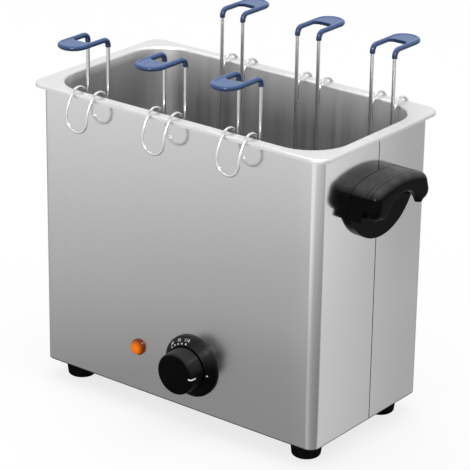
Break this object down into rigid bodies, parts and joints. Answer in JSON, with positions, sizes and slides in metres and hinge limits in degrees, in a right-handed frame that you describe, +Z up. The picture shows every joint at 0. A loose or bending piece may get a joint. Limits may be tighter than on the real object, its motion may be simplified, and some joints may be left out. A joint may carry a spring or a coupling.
{
  "type": "commercial egg boiler",
  "caption": "Tabletop electric egg boiler: a steel tank in a folded casing with side handles and a thermostat dial, and long-handled wire egg holders hooked on its rim.",
  "frame": {"origin": "on the table under the middle of the casing, at the centre of the bounding box's bottom face", "axes": "+X along the front panel to the right as seen from the front, +Y from the front to the back, +Z up"},
  "size_m": [0.366, 0.228, 0.3422],
  "materials": {
    "polished_steel_tank": "satin polish on the rim, drawn finish inside",
    "brushed_steel_casing": "fine brushed",
    "galvanised_sheet": "dull zinc coating",
    "bright_steel_wire": "bright polished wire",
    "zinc_plated_steel": "plated",
    "aluminium_plate": "milled",
    "copper_tube": "drawn copper",
    "black_rubber": "dull",
    "black_bakelite": "glossy moulding",
    "black_plastic": "satin moulding",
    "white_ceramic": "pressed ceramic",
    "amber_lens": "clear tinted moulding",
    "blue_dipped_plastic": "soft dipped coating"
  },
  "bodies": {
    "boiler": {"front_shell": "brushed_steel_casing", "rear_shell": "brushed_steel_casing", "base_plate": "galvanised_sheet", "foot_front_left": "black_rubber", "foot_front_right": "black_rubber", "foot_rear_left": "black_rubber", "foot_rear_right": "black_rubber", "tank": "polished_steel_tank", "handle_back_left": "black_bakelite", "handle_back_right": "black_bakelite", "handle_hood_left": "black_bakelite", "handle_hood_right": "black_bakelite", "handle_screw_left_front": "zinc_plated_steel", "handle_screw_left_rear": "zinc_plated_steel", "handle_screw_right_front": "zinc_plated_steel", "handle_screw_right_rear": "zinc_plated_steel", "dial_bezel": "black_plastic", "thermostat_body": "white_ceramic", "thermostat_screw_left": "zinc_plated_steel", "thermostat_screw_right": "zinc_plated_steel", "thermostat_capillary": "copper_tube", "thermostat_bulb": "zinc_plated_steel", "bulb_clip": "zinc_plated_steel", "lamp_lens": "amber_lens", "lamp_clip": "zinc_plated_steel", "lamp_body": "black_plastic", "heater_plate": "aluminium_plate", "heating_element": "zinc_plated_steel", "heater_clamp": "galvanised_sheet", "clamp_nut_front": "zinc_plated_steel", "clamp_nut_rear": "zinc_plated_steel", "overheat_cutout": "black_plastic", "terminal_block": "white_ceramic", "cord_gland": "black_plastic"},
    "knob": {"control_knob": "black_plastic", "thermostat_spindle": "zinc_plated_steel"},
    "egg_holder_1": {"holder_1_frame": "bright_steel_wire", "holder_1_grip": "blue_dipped_plastic", "holder_1_hook": "bright_steel_wire", "holder_1_egg_cup": "bright_steel_wire"},
    "egg_holder_2": {"holder_2_frame": "bright_steel_wire", "holder_2_grip": "blue_dipped_plastic", "holder_2_hook": "bright_steel_wire", "holder_2_egg_cup": "bright_steel_wire"},
    "egg_holder_3": {"holder_3_frame": "bright_steel_wire", "holder_3_grip": "blue_dipped_plastic", "holder_3_hook": "bright_steel_wire", "holder_3_egg_cup": "bright_steel_wire"},
    "egg_holder_4": {"holder_4_frame": "bright_steel_wire", "holder_4_grip": "blue_dipped_plastic", "holder_4_hook": "bright_steel_wire", "holder_4_egg_cup": "bright_steel_wire"},
    "egg_holder_5": {"holder_5_frame": "bright_steel_wire", "holder_5_grip": "blue_dipped_plastic", "holder_5_hook": "bright_steel_wire", "holder_5_egg_cup": "bright_steel_wire"},
    "egg_holder_6": {"holder_6_frame": "bright_steel_wire", "holder_6_grip": "blue_dipped_plastic", "holder_6_hook": "bright_steel_wire", "holder_6_egg_cup": "bright_steel_wire"}
  },
  "joints": [
    {"name": "knob_turn", "type": "hinge", "parent": "boiler", "child": "knob", "pos_m": [0.0207, -0.08105, 0.06133], "axis": [0, 1, 0], "range_deg": [0, 285]},
    {"name": "holder_1_lift", "type": "slide", "parent": "boiler", "child": "egg_holder_1", "axis": [0, 0, 1], "range_m": [0, 0.195]},
    {"name": "holder_2_lift", "type": "slide", "parent": "boiler", "child": "egg_holder_2", "axis": [0, 0, 1], "range_m": [0, 0.195]},
    {"name": "holder_3_lift", "type": "slide", "parent": "boiler", "child": "egg_holder_3", "axis": [0, 0, 1], "range_m": [0, 0.195]},
    {"name": "holder_4_lift", "type": "slide", "parent": "boiler", "child": "egg_holder_4", "axis": [0, 0, 1], "range_m": [0, 0.195]},
    {"name": "holder_5_lift", "type": "slide", "parent": "boiler", "child": "egg_holder_5", "axis": [0, 0, 1], "range_m": [0, 0.195]},
    {"name": "holder_6_lift", "type": "slide", "parent": "boiler", "child": "egg_holder_6", "axis": [0, 0, 1], "range_m": [0, 0.195]}
  ]
}
